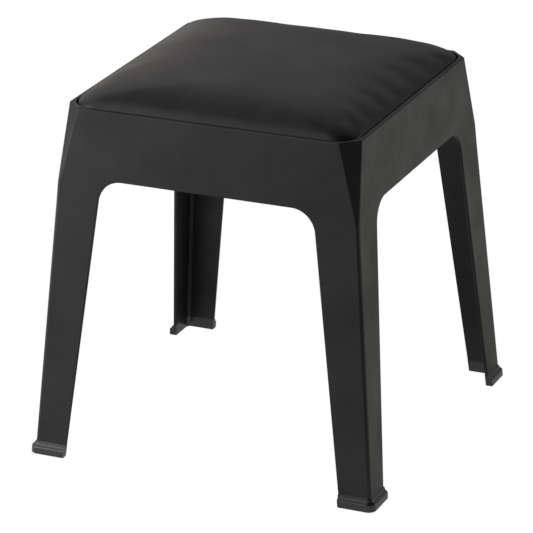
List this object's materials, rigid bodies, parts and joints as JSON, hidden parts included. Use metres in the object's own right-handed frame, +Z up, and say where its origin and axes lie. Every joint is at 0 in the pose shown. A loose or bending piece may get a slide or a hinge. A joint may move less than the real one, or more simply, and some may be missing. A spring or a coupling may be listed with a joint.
{
  "type": "stacking stool",
  "caption": "Square stacking stool: moulded plastic frame with splayed angle-section legs, arched aprons, flared soft shoes and a crowned upholstered seat pad.",
  "frame": {"origin": "on the floor, under the centre of the seat", "axes": "+Z up, +X along the front apron to the right, +Y from the front to the back"},
  "size_m": [0.428, 0.428, 0.4434],
  "materials": {
    "frame_plastic": "matte",
    "shoe_rubber": "satin",
    "board_plywood": "matte",
    "pad_foam": "matte",
    "cover_leather": "satin",
    "staple_steel": "satin",
    "screw_steel": "satin"
  },
  "bodies": {
    "root": {"stool_frame": "frame_plastic", "front_left_shoe": "shoe_rubber", "front_right_shoe": "shoe_rubber", "back_left_shoe": "shoe_rubber", "back_right_shoe": "shoe_rubber", "seat_board": "board_plywood", "seat_foam": "pad_foam", "seat_cover": "cover_leather", "cover_staples": "staple_steel", "seat_screws": "screw_steel", "screw_washers": "screw_steel"}
  },
  "joints": []
}
